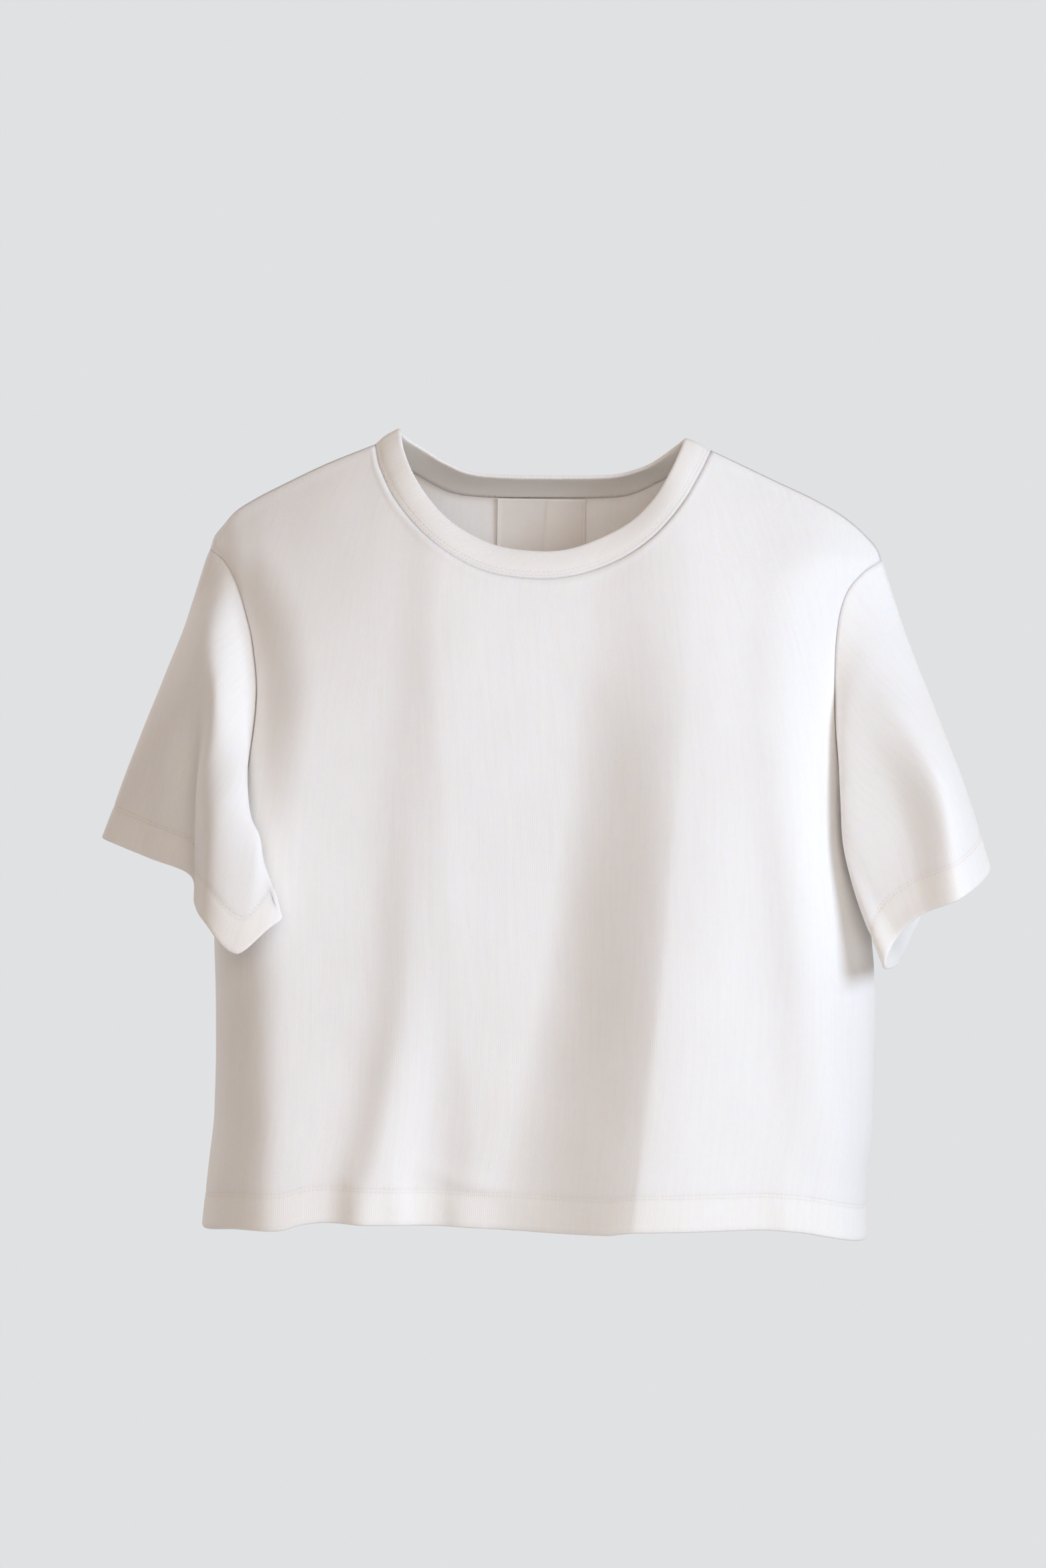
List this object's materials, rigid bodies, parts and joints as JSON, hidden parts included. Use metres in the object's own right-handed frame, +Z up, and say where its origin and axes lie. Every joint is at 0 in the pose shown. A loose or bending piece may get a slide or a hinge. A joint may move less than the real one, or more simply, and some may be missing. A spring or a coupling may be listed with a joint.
{
  "type": "t-shirt",
  "caption": "Cropped, boxy crew-neck t-shirt in heavy jersey with dropped short sleeves, filled out and hanging in soft folds, open at the neck, hem and cuffs.",
  "frame": {"origin": "midway between the two points where the shoulder seams meet the neck band, at the height of those points, where the garment is held up", "axes": "+X from one sleeve to the other, to the right as the front is seen. +Y from the front to the back. +Z up, from the hem to the neck"},
  "size_m": [0.552, 0.1757, 0.496],
  "materials": {
    "jersey": "matt off-white cotton jersey with fine lengthwise wales",
    "rib": "matt off-white one-by-one rib knit, folded double",
    "label": "flat cream woven tape, left bare"
  },
  "bodies": {
    "root": {"front_panel": "jersey", "back_panel": "jersey", "sleeve_left": "jersey", "sleeve_right": "jersey", "neck_band": "rib", "label": "label"}
  },
  "joints": []
}
